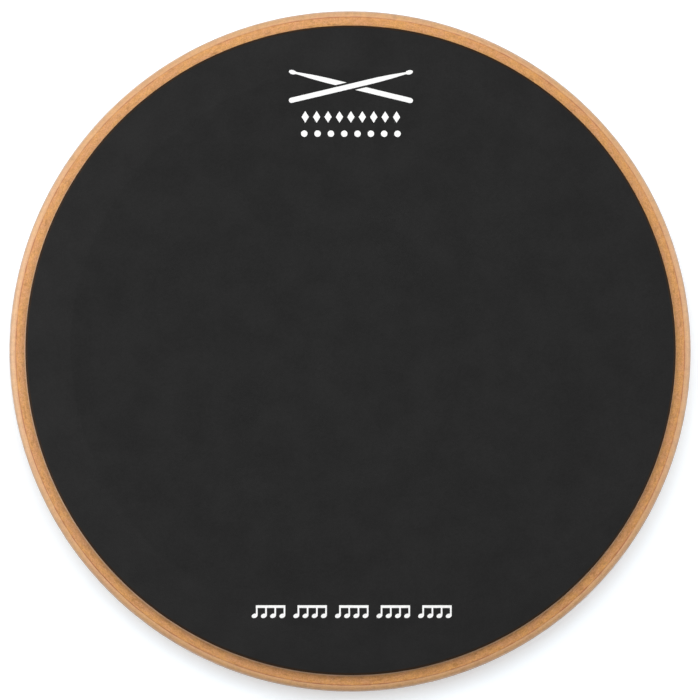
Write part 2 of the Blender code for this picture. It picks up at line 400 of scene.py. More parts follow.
def useGroup(tree, group, **links):
    return feed(tree, addNode(tree, "ShaderNodeGroup", node_tree=group), **links).outputs


def mottled(tree, place, pattern):
    # pattern: scale, detail, and the noise levels at which the mask starts and is full
    scale, detail, low, high = pattern
    return useGroup(tree, mottle, Position=place, Scale=scale, Detail=detail, Low=low, High=high)["Mask"]


def startFinish(name, **values):
    # a material with its shader, and the object coordinates that its patterns read
    material = bpy.data.materials.new(name)
    material.use_nodes = True
    tree = material.node_tree
    shader = feed(tree, tree.nodes["Principled BSDF"], **values)
    return material, tree, shader, tree.nodes.new("ShaderNodeTexCoord").outputs["Object"]


def bumpFrom(tree, shader, height, depth, strength):
    bump = feed(tree, addNode(tree, "ShaderNodeBump"), Height=height, Distance=depth,
                Strength=strength)
    feed(tree, shader, Normal=bump.outputs[0])


boardLook = {
    "golden": (0.702, 0.341, 0.104),
    "rosy": (0.662, 0.312, 0.130),
    "amber": (0.490, 0.220, 0.062),
    "fleck": (0.360, 0.140, 0.024),
    # pale: the side wall's own pale heart, and the painted sheen on the rounded band
    "pale": (0.680, 0.455, 0.270),
    "dust": (0.740, 0.500, 0.300),
    "glueLine": (0.760, 0.560, 0.400),
    # groove: painted shade along the routed step
    "groove": (0.400, 0.125, 0.042),
    # wall: the edge's own tone, darkened further as painted shade
    "wall": (0.530, 0.288, 0.122),
    "wallFibre": (0.350, 0.166, 0.056),
    # patterns: scale, detail, start and full
    "patches": (330.0, 4.0, 0.38, 0.62),
    "fibres": (1250.0, 5.0, 0.38, 0.64),
    "streaks": (700.0, 6.0, 0.54, 0.70),
    "specks": (1700.0, 3.0, 0.46, 0.68),
    "dustSpots": (1500.0, 2.0, 0.50, 0.66),
    "strands": (1500.0, 6.0, 0.36, 0.66),
    "stretch": 0.45,
    "wallStretch": 0.12,
    # what the plain underside keeps of each pattern
    "keptBelow": {"patches": 0.35, "fibres": 0.55, "streaks": 0.45, "specks": 0.35},
    # how strongly each colour covers the ones before it
    "fibreShare": 0.55,
    "streakShare": 0.64,
    "speckShare": 0.45,
    "dustShare": 0.16,
    "heartShare": 0.30,
    "paintedSheenShare": 0.38,
    "sideToneAndShadeShare": 0.66,
    "glueShare": 0.60,
    "stepShadeShare": (0.35, 0.90),
    # where the zones start and are full, from the underside, the top face or the rim
    "underside": (1.2 * mm, 0.6 * mm),
    "upper": (-3.4 * mm, -2.6 * mm),
    "side": (-0.8 * mm, -2.2 * mm),
    "sideOut": (-3.0 * mm, -1.5 * mm),
    "heart": (7.5 * mm, 2.0 * mm),
    "heartOut": (-0.6 * mm, -0.3 * mm),
    "band": (-0.05 * mm, 0.1 * mm),
    "stepIn": 2.95 * mm,
    "stepShadeWidth": (0.36 * mm, 0.08 * mm),
    "glueOut": 0.3 * mm,
    "glueWidth": (0.45 * mm, 0.1 * mm),
    "roughness": (0.46, 0.58),
    "coat": (0.25, 1.0),
    "coatRoughness": 0.30,
    "specular": 0.40,
    "bumpDepth": 0.06 * mm,
    "bumpStrength": 0.35,
}


def makeBoardFinish():
    look = boardLook
    material, tree, shader, place = startFinish(
        "lacqueredBoard", Coat_Roughness=look["coatRoughness"], Specular_IOR_Level=look["specular"])
    rim = useGroup(tree, ringCoords, Position=place, Stretch=look["stretch"])
    longRim = useGroup(tree, ringCoords, Position=place, Stretch=look["wallStretch"])
    radius, height = rim["Radius"], rim["Height"]
    # the pattern runs round the rim, and straight across the underside
    below = nearMask(tree, height, boardLow.z, look["underside"])
    along = feed(tree, addNode(tree, "ShaderNodeMix", data_type="VECTOR"),
                 Factor=below, A=rim["Along Rim"], B=place).outputs["Result"]
    masks = {}
    for name, coords in (("patches", along), ("fibres", along), ("streaks", along), ("specks", place)):
        kept = blendValue(tree, below, 1.0, look["keptBelow"][name])
        masks[name] = times(tree, mottled(tree, coords, look[name]), kept)
    # zones: the top, the rounded band outside the routed step, the side wall and its pale heart; the band
    # is paled as painted sheen, and the side's darker tone is partly painted shade
    step = boardRadius - look["stepIn"]
    upper = nearMask(tree, height, boardHigh.z, look["upper"])
    band = times(tree, nearMask(tree, radius, step, look["band"]), upper)
    side = times(tree, nearMask(tree, height, boardHigh.z, look["side"]),
                 nearMask(tree, radius, boardRadius, look["sideOut"]))
    heart = times(tree, lineMask(tree, height, (boardLow.z + boardHigh.z) / 2, *look["heart"]),
                  nearMask(tree, radius, boardRadius, look["heartOut"]))
    colour = blendColour(tree, masks["patches"], look["golden"], look["rosy"])
    for mask, share, shade in ((masks["fibres"], "fibreShare", "amber"),
                               (masks["streaks"], "streakShare", "fleck"),
                               (masks["specks"], "speckShare", "fleck"),
                               (mottled(tree, place, look["dustSpots"]), "dustShare", "dust"),
                               (heart, "heartShare", "pale"),
                               # painted sheen: the rounded band is paled as if it caught the lamps' gloss
                               (band, "paintedSheenShare", "pale")):
        colour = blendColour(tree, times(tree, mask, look[share]), colour, look[shade])
    # the side wall and the outer part of the rounded edge take a darker wood tone: partly the board edge's
    # own colour, partly painted shade along the edge
    strands = mottled(tree, longRim["Along Rim"], look["strands"])
    wall = blendColour(tree, strands, look["wall"], look["wallFibre"])
    colour = blendColour(tree, times(tree, side, look["sideToneAndShadeShare"]), colour, wall)
    # painted shade: a dark line along the routed step, stronger where the patches are
    groove = times(tree, lineMask(tree, radius, step, *look["stepShadeWidth"]),
                   times(tree, upper, blendValue(tree, masks["patches"], *look["stepShadeShare"])))
    colour = blendColour(tree, groove, colour, look["groove"])
    glue = times(tree, lineMask(tree, radius, skinRadius + look["glueOut"], *look["glueWidth"]),
                 times(tree, upper, look["glueShare"]))
    colour = blendColour(tree, glue, colour, look["glueLine"])
    feed(tree, shader, Base_Color=colour, Coat_Weight=blendValue(tree, band, *look["coat"]),
         Roughness=blendValue(tree, masks["fibres"], *look["roughness"]))
    bumpFrom(tree, shader, calc(tree, "ADD", masks["fibres"], masks["specks"]),
             look["bumpDepth"], look["bumpStrength"])
    return material


skinLook = {
    "black": (0.0079, 0.0079, 0.0079),
    "worn": (0.0152, 0.0152, 0.0152),
    # core: brown painted on the bevelled edge as a reflection of the wood
    "core": (0.0250, 0.0125, 0.0050),
    "clouds": (55.0, 6.0, 0.3, 0.7),
    "fine": (420.0, 4.0, 0.35, 0.65),
    "cloudShare": 0.40,
    "fineShare": 0.28,
    "grainShare": 0.32,
    "grain": 1400.0,
    "grainSize": 0.7,
    "sheet": (-0.02 * mm, -0.12 * mm),
    "roughness": (0.62, 0.74),
    "specular": 0.19,
    "bumpDepth": 0.05 * mm,
    "bumpStrength": 0.5,
}


def makeSkinFinish():
    look = skinLook
    material, tree, shader, place = startFinish("playingSkinBlack", Specular_IOR_Level=look["specular"])
    grains = useGroup(tree, grit, Position=place, Scale=look["grain"], Size=look["grainSize"])
    clouds = mottled(tree, place, look["clouds"])
    fine = mottled(tree, place, look["fine"])
    tone = calc(tree, "ADD", times(tree, clouds, look["cloudShare"]), times(tree, fine, look["fineShare"]))
    tone = calc(tree, "ADD", tone, times(tree, grains["Tone"], look["grainShare"]), clamp=True)
    # painted reflection: the bevelled edge and side below the black face are painted brown, standing in
    # for the wooden ring reflected there
    core = nearMask(tree, splitVector(tree, place)["Z"], skinHigh.z, look["sheet"])
    colour = blendColour(tree, tone, look["black"], look["worn"])
    feed(tree, shader, Base_Color=blendColour(tree, core, colour, look["core"]),
         Roughness=blendValue(tree, fine, *look["roughness"]))
    bumpFrom(tree, shader, grains["Grains"], look["bumpDepth"], look["bumpStrength"])
    return material


inkLook = {
    "white": (0.80, 0.80, 0.80),
    "bright": (0.90, 0.90, 0.89),
    "clouds": (900.0, 4.0, 0.3, 0.7),
    "pore": 1400.0,
    "poreSize": 0.7,
    "roughness": (0.5, 0.6),
    "specular": 0.3,
    "bumpDepth": 0.03 * mm,
    "bumpStrength": 0.4,
}


def makeInkFinish():
    look = inkLook
    material, tree, shader, place = startFinish("printInk", Specular_IOR_Level=look["specular"])
    clouds = mottled(tree, place, look["clouds"])
    pores = useGroup(tree, grit, Position=place, Scale=look["pore"], Size=look["poreSize"])["Grains"]
    feed(tree, shader, Base_Color=blendColour(tree, clouds, look["white"], look["bright"]),
         Roughness=blendValue(tree, clouds, *look["roughness"]))
    bumpFrom(tree, shader, pores, look["bumpDepth"], look["bumpStrength"])
    return material


rubberLook = {
    "sheetDark": (0.014, 0.013, 0.012),
    "sheetDusty": (0.026, 0.025, 0.023),
    "sheetPit": 1100.0,
    "footDark": (0.011, 0.011, 0.011),
    "footDusty": (0.024, 0.023, 0.022),
    "footPit": 1500.0,
    "pitSize": 0.55,
    "clouds": (170.0, 5.0, 0.35, 0.72),
    "roughness": (0.62, 0.86),
    "specular": 0.3,
    "bumpDepth": 0.04 * mm,
    "bumpStrength": 0.6,
}


def makeRubberFinish(name, kind):
    look = rubberLook
    material, tree, shader, place = startFinish(name, Specular_IOR_Level=look["specular"])
    pits = useGroup(tree, grit, Position=place, Scale=look[kind + "Pit"], Size=look["pitSize"])
    clouds = mottled(tree, place, look["clouds"])
    feed(tree, shader, Base_Color=blendColour(tree, clouds, look[kind + "Dark"], look[kind + "Dusty"]),
         Roughness=blendValue(tree, clouds, *look["roughness"]))
    bumpFrom(tree, shader, calc(tree, "SUBTRACT", clouds, pits["Grains"]),
             look["bumpDepth"], look["bumpStrength"])
    return material


filmLook = {
    "thin": (0.050, 0.036, 0.020),
    "thick": (0.085, 0.062, 0.034),
    "clouds": (260.0, 4.0, 0.3, 0.7),
    "roughness": (0.35, 0.55),
    "bumpDepth": 0.03 * mm,
    "bumpStrength": 0.4,
}


def makeFilmFinish():
    look = filmLook
    material, tree, shader, place = startFinish("bondFilm")
    clouds = mottled(tree, place, look["clouds"])
    feed(tree, shader, Base_Color=blendColour(tree, clouds, look["thin"], look["thick"]),
         Roughness=blendValue(tree, clouds, *look["roughness"]))
    bumpFrom(tree, shader, clouds, look["bumpDepth"], look["bumpStrength"])
    return material


metalLook = {
    "zincBright": (0.68, 0.69, 0.70),
    "zincDull": (0.54, 0.55, 0.57),
    "zincRoughness": (0.28, 0.38),
    "screwBright": (0.58, 0.57, 0.55),
    "screwDull": (0.42, 0.41, 0.40),
    "screwRoughness": (0.22, 0.32),
    "brushing": (2600.0, 5.0, 0.3, 0.7),
    "brushStretch": (1.0, 1.0, 0.15),
    "stains": (800.0, 5.0, 0.42, 0.8),
    "stainRoughness": 0.08,
    "bumpDepth": 0.01 * mm,
    "bumpStrength": 0.4,
}


def makeMetalFinish(name, kind):
    look = metalLook
    material, tree, shader, place = startFinish(name, Metallic=1.0)
    stretch = feed(tree, addNode(tree, "ShaderNodeMapping"), Vector=place, Scale=look["brushStretch"])
    brushing = mottled(tree, stretch.outputs[0], look["brushing"])
    stains = mottled(tree, place, look["stains"])
    rough = calc(tree, "ADD", blendValue(tree, brushing, *look[kind + "Roughness"]),
                 times(tree, stains, look["stainRoughness"]))
    feed(tree, shader, Roughness=rough,
         Base_Color=blendColour(tree, stains, look[kind + "Bright"], look[kind + "Dull"]))
    bumpFrom(tree, shader, brushing, look["bumpDepth"], look["bumpStrength"])
    return material


boardFinish = makeBoardFinish()
skinFinish = makeSkinFinish()
inkFinish = makeInkFinish()
rubberFinish = makeRubberFinish("dampingRubber", "sheet")
footFinish = makeRubberFinish("footRubber", "foot")
filmFinish = makeFilmFinish()
zincFinish = makeMetalFinish("zincPlate", "zinc")
screwFinish = makeMetalFinish("screwSteel", "screw")
print("finishes ready")


board = {
    "steps": 288,
    "faceRings": (50 * mm, 100 * mm, 140 * mm),
    "undersideRings": (120 * mm, 80 * mm, 40 * mm),
    "ringFlat": 3.0 * mm,
    "step": 0.4 * mm,
    "stepRound": 0.12 * mm,
    "stepEase": 0.05 * mm,
    "edgeRound": 3.0 * mm,
    "undersideRound": 1.5 * mm,
    "nutGap": 0.15 * mm,
    "nutEase": 0.2 * mm,
    "nutHoleDepth": 14.5 * mm,
    "nutFlange": 2.3 * mm,
    "nutBarrel": 5.8 * mm,
}


def makeBoard():
    low, high, size = boardLow.z, boardHigh.z, board
    inner = boardRadius - size["ringFlat"]
    shoulder = high - size["step"]
    ease, mouth = size["stepEase"], size["nutEase"]
    flange = nutHigh.x + size["nutGap"]
    barrel = size["nutBarrel"]
    # the top face, the routed step, the rounded edge and the side
    outline = [(0, high)] + [(radius, high) for radius in size["faceRings"]]
    outline += arc(inner - size["stepRound"], high - size["stepRound"], size["stepRound"], 90, 0, 4)
    outline += [(inner, shoulder + ease), (inner + ease, shoulder)]
    outline += arc(boardRadius - size["edgeRound"], shoulder - size["edgeRound"],
                   size["edgeRound"], 88, 0, 10)
    outline += [(boardRadius, (low + high) / 2)]
    # the underside, and the recess for the nut's flange and barrel
    outline += arc(boardRadius - size["undersideRound"], low + size["undersideRound"],
                   size["undersideRound"], 0, -90, 6)
    outline += [(radius, low) for radius in size["undersideRings"]]
    outline += [(flange + mouth, low), (flange, low + mouth), (flange, low + size["nutFlange"]),
                (barrel, low + size["nutFlange"]), (barrel, low + size["nutHoleDepth"]),
                (0, low + size["nutHoleDepth"])]
    return turned(outline, size["steps"], boardFinish)


addPiece("padBoard", makeBoard(), boardFinish, ["base_board"], sharp=28)
print("board made")


# the films fill the gaps between board, rubber and skin, which grow a little to meet them
layers = {
    "steps": 288,
    "skinBevel": 1.0 * mm,
    "skinBevelDrop": 0.45 * mm,
    "skinEase": 0.05 * mm,
    "skinDrop": 0.2 * mm,
    "rubberGrowth": 0.25 * mm,
    "rubberEdge": 0.15 * mm,
    "filmInset": 0.5 * mm,
    "filmEdge": 0.05 * mm,
    "rings": (0.3, 0.6, 0.85),
    "lowerRing": 0.5,
}


def faceRings(radius, height):
    # rings across a wide flat face, so that its triangles aren't needles
    return [(0, height)] + [(share * radius, height) for share in layers["rings"]]


def layerOutline(radius, low, high, edge):
    upper = arc(radius - edge, high - edge, edge, 90, 0, 5)
    lower = arc(radius - edge, low + edge, edge, 0, -90, 5)
    return faceRings(radius, high) + upper + lower + [(layers["lowerRing"] * radius, low), (0, low)]


def skinOutline(radius, low, high):
    bevel, drop, ease = layers["skinBevel"], layers["skinBevelDrop"], layers["skinEase"]
    edge = [(radius - bevel - 2 * ease, high), (radius - bevel, high - 0.4 * ease),
            (radius - ease, high - drop), (radius, high - drop - 2 * ease),
            (radius, low + ease), (radius - ease, low)]
    return faceRings(radius, high) + edge + [(layers["lowerRing"] * radius, low), (0, low)]


def makeLayers():
    size = layers
    rubberBottom = rubberLow.z - size["rubberGrowth"]
    rubberTop = rubberHigh.z + size["rubberGrowth"]
    skinBottom = skinLow.z - size["skinDrop"]
    filmRadius = skinRadius - size["filmInset"]
    rubber = layerOutline(skinRadius, rubberBottom, rubberTop, size["rubberEdge"])
    skin = skinOutline(skinRadius, skinBottom, skinHigh.z)
    lowerFilm = layerOutline(filmRadius, boardHigh.z, rubberBottom, size["filmEdge"])
    upperFilm = layerOutline(filmRadius, rubberTop, skinBottom, size["filmEdge"])
    for name, outline, finish, slotName, node in (
            ("rubberSheet", rubber, rubberFinish, "damping_rubber", "rubber_layer"),
            ("playingSkin", skin, skinFinish, "black_skin", "playing_skin"),
            ("rubberBondFilm", lowerFilm, filmFinish, "bonding_film", "rubber_bonding_film"),
            ("skinBondFilm", upperFilm, filmFinish, "bonding_film", "skin_bonding_film")):
        addPiece(name, turned(outline, size["steps"], finish), finish, [node])


makeLayers()
print("layers made")


# crossed sticks over two rows of marks, and groups of notes at the near edge
printing = {
    "inkLow": -0.02 * mm,
    "inkHigh": 0.05 * mm,
    "sticksY": 117.7 * mm,
    "stickLean": 13.5,
    "crossGap": 0.9 * mm,
    "diamond": (3.3 * mm, 5.2 * mm),
    "diamondsY": 103.9 * mm,
    "diamonds": 9,
    "diamondStep": 5.1 * mm,
    "dot": (2.9 * mm, 2.9 * mm),
    "dotSides": 24,
    "dotsY": 96.4 * mm,
    "dots": 8,
    "dotStep": 5.95 * mm,
    "notesX": 1.3 * mm,
    "notesY": -116.6 * mm,
    "noteGroups": 5,
    "groupStep": 18.5 * mm,
}

# a drumstick's shape; taper, shoulder, neck and tip are shares of its length
stick = {
    "length": 57.0 * mm,
    "width": 2.3 * mm,
    "taper": 0.30,
    "shoulder": 0.12,
    "shoulderWidth": 0.40,
    "neck": 0.060,
    "neckWidth": 0.20,
    "tip": 0.030,
    "tipWidth": 0.42,
}

note = {
    "count": 4,
    "pitch": 4.1 * mm,
    "stem": 0.75 * mm,
    "stemFoot": 0.1 * mm,
    "rise": 4.7 * mm,
    "beam": 1.2 * mm,
    "head": (2.7 * mm, 1.9 * mm),
    "headSides": 16,
    "headLean": 20,
    "headShift": 0.95 * mm,
    "overlap": 0.02 * mm,
    "thinner": 0.003 * mm,
    "lift": 0.3 * mm,
}


def stickOutline():
    # a drumstick along X: round butt, long body, tapered shoulder and an acorn tip
    length, width = stick["length"], stick["width"]
    half = length / 2
    taper = half - stick["taper"] * length
    neck = half - stick["neck"] * length
    tip = stick["tip"] * length
    side = [(-half + width / 2 * (1 - math.cos(math.radians(t))), width / 2 * math.sin(math.radians(t)))
            for t in (30, 60, 90)]
    side += [(taper, width / 2), (taper + stick["shoulder"] * length, stick["shoulderWidth"] * width),
             (neck, stick["neckWidth"] * width)]
    side += [(half - tip + tip * math.cos(math.radians(t)),
              stick["tipWidth"] * width * math.sin(math.radians(t))) for t in range(150, 0, -30)]
    return [(-half, 0)] + side + [(half, 0)] + [(x, -y) for x, y in reversed(side)]


def turnPoints(points, degrees):
    c, s = math.cos(math.radians(degrees)), math.sin(math.radians(degrees))
    return [(x * c - y * s, x * s + y * c) for x, y in points]


def polygonPoints(count, width, height):
    turns = [math.radians(360 * i / count) for i in range(count)]
    return [(width / 2 * math.cos(t), height / 2 * math.sin(t)) for t in turns]


def makeSticks(low, high):
    # the stick below stops short of the one above it
    lean = printing["stickLean"]
    outline = stickOutline()
    over = slab(turnPoints(outline, lean), low, high)
    under = slab(turnPoints(outline, 180 - lean), low, high)
    reach = stick["length"]
    keepOut = stick["width"] / 2 + printing["crossGap"]
    strip = [(-reach, -keepOut), (reach, -keepOut), (reach, keepOut), (-reach, keepOut)]
    gap = slab(turnPoints(strip, lean), low - mm, high + mm)
    return shifted(joined(over, carved(under, [gap])), (0, printing["sticksY"], 0))


def makeNoteGroup(low, high):
    # beamed notes: round heads, thin stems and one beam over them
    size = note
    stem, rise, overlap, thinner = size["stem"], size["rise"], size["overlap"], size["thinner"]
    spots = [(i - (size["count"] - 1) / 2) * size["pitch"] for i in range(size["count"])]
    head = turnPoints(polygonPoints(size["headSides"], *size["head"]), size["headLean"])
    heads = [[(x + hx - size["headShift"], hy) for hx, hy in head] for x in spots]
    stems = [[(x - stem / 2, size["stemFoot"]), (x + stem / 2, size["stemFoot"]),
              (x + stem / 2, rise - overlap), (x - stem / 2, rise - overlap)] for x in spots]
    left, right = spots[0] - stem / 2 - overlap, spots[-1] + stem / 2 + overlap
    bar = [(left, rise - size["beam"]), (right, rise - size["beam"]), (right, rise), (left, rise)]
    # each kind is a hair thinner than the last, so that no two faces lie in one plane
    under = joined(*[slab(points, low + thinner, high - thinner) for points in stems])
    balls = joined(*[slab(points, low + 2 * thinner, high - 2 * thinner) for points in heads])
    group = carved(slab(bar, low, high), [under, balls], "UNION")
    return shifted(group, (0, -rise / 2 + size["lift"], 0))


def makePrint():
    size = printing
    low, high = skinHigh.z + size["inkLow"], skinHigh.z + size["inkHigh"]
    diamond = slab(polygonPoints(4, *size["diamond"]), low, high)
    dot = slab(polygonPoints(size["dotSides"], *size["dot"]), low, high)
    notes = makeNoteGroup(low, high)
    addPiece("printSticks", makeSticks(low, high), inkFinish)
    for name, mark, count, spacing, x, y in (
            ("printDiamonds", diamond, size["diamonds"], size["diamondStep"], 0, size["diamondsY"]),
            ("printDots", dot, size["dots"], size["dotStep"], 0, size["dotsY"]),
            ("printNotes", notes, size["noteGroups"], size["groupStep"], size["notesX"], size["notesY"])):
        row = grow(rowTree, mark, Count=count, Spacing=spacing, Finish=inkFinish)
        addPiece(name, shifted(row, (x, y, 0)), inkFinish)


makePrint()
print("print made")


foot = {
    "steps": 96,
    "topRadius": 12.0 * mm,
    "topEdge": 0.3 * mm,
    "treadRadius": 10.0 * mm,
    "treadRound": 0.8 * mm,
    "wellRadius": 6.9 * mm,
    "wellDepth": 5.3 * mm,
    "wellEdge": 0.25 * mm,
    "bore": 2.3 * mm,
    "groove": 0.5 * mm,
    "grooveMouth": 0.35 * mm,
    "grooveFloor": 0.2 * mm,
    "ribs": 24,
    "ribWidth": 0.9 * mm,
    "ribDepth": 0.35 * mm,
    "ribRoot": 0.6 * mm,
    "ribFrom": 1.6 * mm,
    "ribShort": 1.5 * mm,
}
washer = {
    "steps": 64,
    "outer": 6.3 * mm,
    "inner": 2.15 * mm,
    "thick": 1.0 * mm,
    "edge": 0.2 * mm,
    "lowerEdge": 0.05 * mm,
    "lift": 0.25 * mm,
}
footScrew = {
    "steps": 64,
    "shank": 1.65 * mm,
    "thread": 2.0 * mm,
    "threadFrom": 2.0 * mm,
    "threadSteps": 24,
    "head": 4.0 * mm,
    "headHeight": 2.4 * mm,
    "headEdge": 0.15 * mm,
    "headSide": 0.35,
    "dome": 0.62,
    "domeFrom": 0.38,
    "length": 16.0 * mm,
    "tip": 3.0 * mm,
    "pitch": 1.4 * mm,
    "cross": 2.3 * mm,
    "crossSlot": 0.55 * mm,
    "crossDepth": 1.5 * mm,
    "crossTaper": 0.42,
    "lift": 0.2 * mm,
}
nutScrew = {
    "steps": 64,
    "shank": 1.2 * mm,
    "thread": 1.5 * mm,
    "threadFrom": 2.5 * mm,
    "threadSteps": 24,
    "head": 2.8 * mm,
    "headHeight": 1.3 * mm,
    "headEdge": 0.12 * mm,
    "faceEdge": 0.05 * mm,
    "length": 12.0 * mm,
    "tip": 2.0 * mm,
    "pitch": 1.1 * mm,
    "cross": 1.6 * mm,
    "crossSlot": 0.4 * mm,
    "crossDepth": 1.0 * mm,
    "crossTaper": 0.42,
}
standNut = {
    "steps": 96,
    "bore": 4.0 * mm,
    "boreEdge": 0.4 * mm,
    "boreEdgeHeight": 0.5 * mm,
    "barrel": 5.5 * mm,
    "barrelEdge": 0.3 * mm,
    "flangeThick": 2.0 * mm,
    "flangeEdge": 0.2 * mm,
    "edge": 0.4 * mm,
    "pitch": 1.25 * mm,
    "rib": 0.45 * mm,
    "ribSink": 0.05 * mm,
    "threadFrom": 0.6 * mm,
    "threadShort": 1.2 * mm,
    "threadSteps": 40,
    "sinkHole": 1.8 * mm,
    "sinkMouth": 3.1 * mm,
    "sinkDepth": 1.3 * mm,
    "sinkTop": 5.0 * mm,
    "sinkProud": 0.05 * mm,
    "sinkSteps": 48,
}


def centreOf(node):
    low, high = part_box(node)
    return Vector(((low.x + high.x) / 2, (low.y + high.y) / 2, 0))


def makeFoot():
    size = foot
    top = boardLow.z
    tread, ring, topEdge = size["treadRadius"], size["treadRound"], size["topEdge"]
    well, wellEdge = size["wellRadius"], size["wellEdge"]
    middle = (tread - ring + well) / 2
    mouth, floor = size["grooveMouth"], size["grooveFloor"]
    # a cone with a grooved tread, round a well for the washer and a bore for the screw
    outline = arc(size["topRadius"] - topEdge, top - topEdge, topEdge, 90, 0, 4)
    outline += arc(tread - ring, ring, ring, 0, -90, 6)
    outline += [(middle + mouth, 0), (middle + floor, size["groove"]),
                (middle - floor, size["groove"]), (middle - mouth, 0)]
    outline += arc(well + wellEdge, wellEdge, wellEdge, -90, -180, 4)
    outline += [(well, size["wellDepth"]), (size["bore"], size["wellDepth"]), (size["bore"], top),
                outline[0]]
    cone = turned(outline, size["steps"], footFinish)
    # upright grip ribs round the side, leaning with it
    half, depth, root = size["ribWidth"] / 2, size["ribDepth"], size["ribRoot"]
    section = [(-root, -half), (0, -half), (depth, -half / 2), (depth, half / 2), (0, half),
               (-root, half)]
    rib = slab(section, size["ribFrom"], top - size["ribShort"])
    slope = (size["topRadius"] - tread) / top
    for vertex in rib.vertices:
        vertex.co.x += slope * vertex.co.z
    ribs = grow(ringTree, rib, Count=size["ribs"], Radius=tread, Finish=footFinish)
    return carved(cone, [tidyMesh(ribs)], "UNION")


def makeWasher():
    size = washer
    outer, inner, thick = size["outer"], size["inner"], size["thick"]
    edge, lowerEdge = size["edge"], size["lowerEdge"]
    outline = arc(outer - edge, thick - edge, edge, 90, 0, 4)
    outline += [(outer, lowerEdge), (outer - lowerEdge, 0), (inner, 0), (inner, thick), outline[0]]
    return turned(outline, size["steps"], zincFinish)


def makeCross(size, face, deep):
    # a screwdriver's cross that narrows as it goes from the head's face towards deep
    wide, slot, taper = size["cross"], size["crossSlot"], size["crossTaper"]
    corner = [(wide, slot), (slot, slot), (slot, wide), (-slot, wide), (-slot, slot), (-wide, slot)]
    points = corner + [(-x, -y) for x, y in corner]
    start = face - (deep - face) / 2
    cross = slab(points, start, deep)
    for vertex in cross.vertices:
        if abs(vertex.co.z - deep) < weldGap:
            vertex.co.x *= taper
            vertex.co.y *= taper
    return cross


def makeThread(size):
    start, end = size["threadFrom"], size["length"] - size["tip"]
    thread = grow(threadTree, bpy.data.meshes.new("thread"), Radius=size["shank"], Pitch=size["pitch"],
                  Turns=(end - start) / size["pitch"], Rib=size["thread"] - size["shank"],
                  Steps_Per_Turn=size["threadSteps"], Finish=screwFinish)
    return tidyMesh(shifted(thread, (0, 0, start)))


def makePanScrew():
    size = footScrew
    head, tall, shank = size["head"], size["headHeight"], size["shank"]
    dome = size["dome"] * tall
    outline = [(0, size["length"]), (shank, size["length"] - size["tip"]), (shank, 0),
               (head - size["headEdge"], 0), (head, -size["headEdge"]), (head, -size["headSide"] * tall)]
    outline += arc(head - dome, -size["domeFrom"] * tall, dome, 0, -80, 6)
    outline += [(0, -tall)]
    cross = makeCross(size, -tall, -tall + size["crossDepth"])
    return joined(carved(turned(outline, size["steps"], screwFinish), [cross]), makeThread(size))


def makeFlatScrew():
    size = nutScrew
    head, shank = size["head"], size["shank"]
    outline = [(0, size["length"]), (shank, size["length"] - size["tip"]), (shank, size["headHeight"]),
               (head, size["headEdge"]), (head - size["faceEdge"], 0), (0, 0)]
    cross = makeCross(size, 0, size["crossDepth"])
    return joined(carved(turned(outline, size["steps"], screwFinish), [cross]), makeThread(size))


def makeNut():
    size = standNut
    low, top = nutLow.z, nutHigh.z
    outer, edge, flangeEdge = nutHigh.x, size["edge"], size["flangeEdge"]
    barrel, bore, barrelEdge = size["barrel"], size["bore"], size["barrelEdge"]
    flangeTop = low + size["flangeThick"]
    outline = [(barrel - barrelEdge, top), (barrel, top - barrelEdge), (barrel, flangeTop),
               (outer - flangeEdge, flangeTop), (outer, flangeTop - flangeEdge)]
    outline += arc(outer - edge, low + edge, edge, 0, -90, 5)
    outline += [(bore + size["boreEdge"], low), (bore, low + size["boreEdgeHeight"]), (bore, top),
                outline[0]]
    body = turned(outline, size["steps"], zincFinish)
    # countersunk holes for the three screws
    hole, mouth, depth = size["sinkHole"], size["sinkMouth"], size["sinkDepth"]
    sink = [(0, size["sinkTop"]), (hole, size["sinkTop"]), (hole, depth), (mouth, -size["sinkProud"]),
            (mouth, -mm), (0, -mm)]
    sink = turned(sink, size["sinkSteps"], zincFinish)
    spots = [centreOf(f"nut_screw_{i}") for i in (1, 2, 3)]
    body = carved(body, [shifted(sink, spot + Vector((0, 0, low))) for spot in spots])
    turns = (top - low - size["threadShort"]) / size["pitch"]
    thread = grow(threadTree, bpy.data.meshes.new("thread"), Radius=bore + size["ribSink"],
                  Pitch=size["pitch"], Turns=turns, Rib=size["rib"],
                  Steps_Per_Turn=size["threadSteps"], Finish=zincFinish)
    return joined(body, tidyMesh(shifted(thread, (0, 0, low + size["threadFrom"]))))


def makeFittings():
    footMesh, washerMesh, panScrew = makeFoot(), makeWasher(), makePanScrew()
    for i in (1, 2, 3, 4):
        spot = centreOf(f"foot_screw_{i}")
        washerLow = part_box(f"foot_washer_{i}")[0].z + washer["lift"]
        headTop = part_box(f"foot_screw_{i}")[0].z + footScrew["headHeight"] + footScrew["lift"]
        addPiece(f"padFoot{i}", shifted(footMesh, spot), footFinish,
                 [f"rubber_foot_{i}"])
        addPiece(f"footWasher{i}", shifted(washerMesh, spot + Vector((0, 0, washerLow))),
                 zincFinish, [f"foot_washer_{i}"])
        addPiece(f"footScrew{i}", shifted(panScrew, spot + Vector((0, 0, headTop))),
                 screwFinish, [f"foot_screw_{i}"])
    addPiece("standNut", makeNut(), zincFinish, ["stand_nut"])
    flatScrew = makeFlatScrew()
    for i in (1, 2, 3):
        spot = centreOf(f"nut_screw_{i}") + Vector((0, 0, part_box(f"nut_screw_{i}")[0].z))
        addPiece(f"nutScrew{i}", shifted(flatScrew, spot), screwFinish,
                 [f"nut_screw_{i}"])


makeFittings()
print("fittings made")


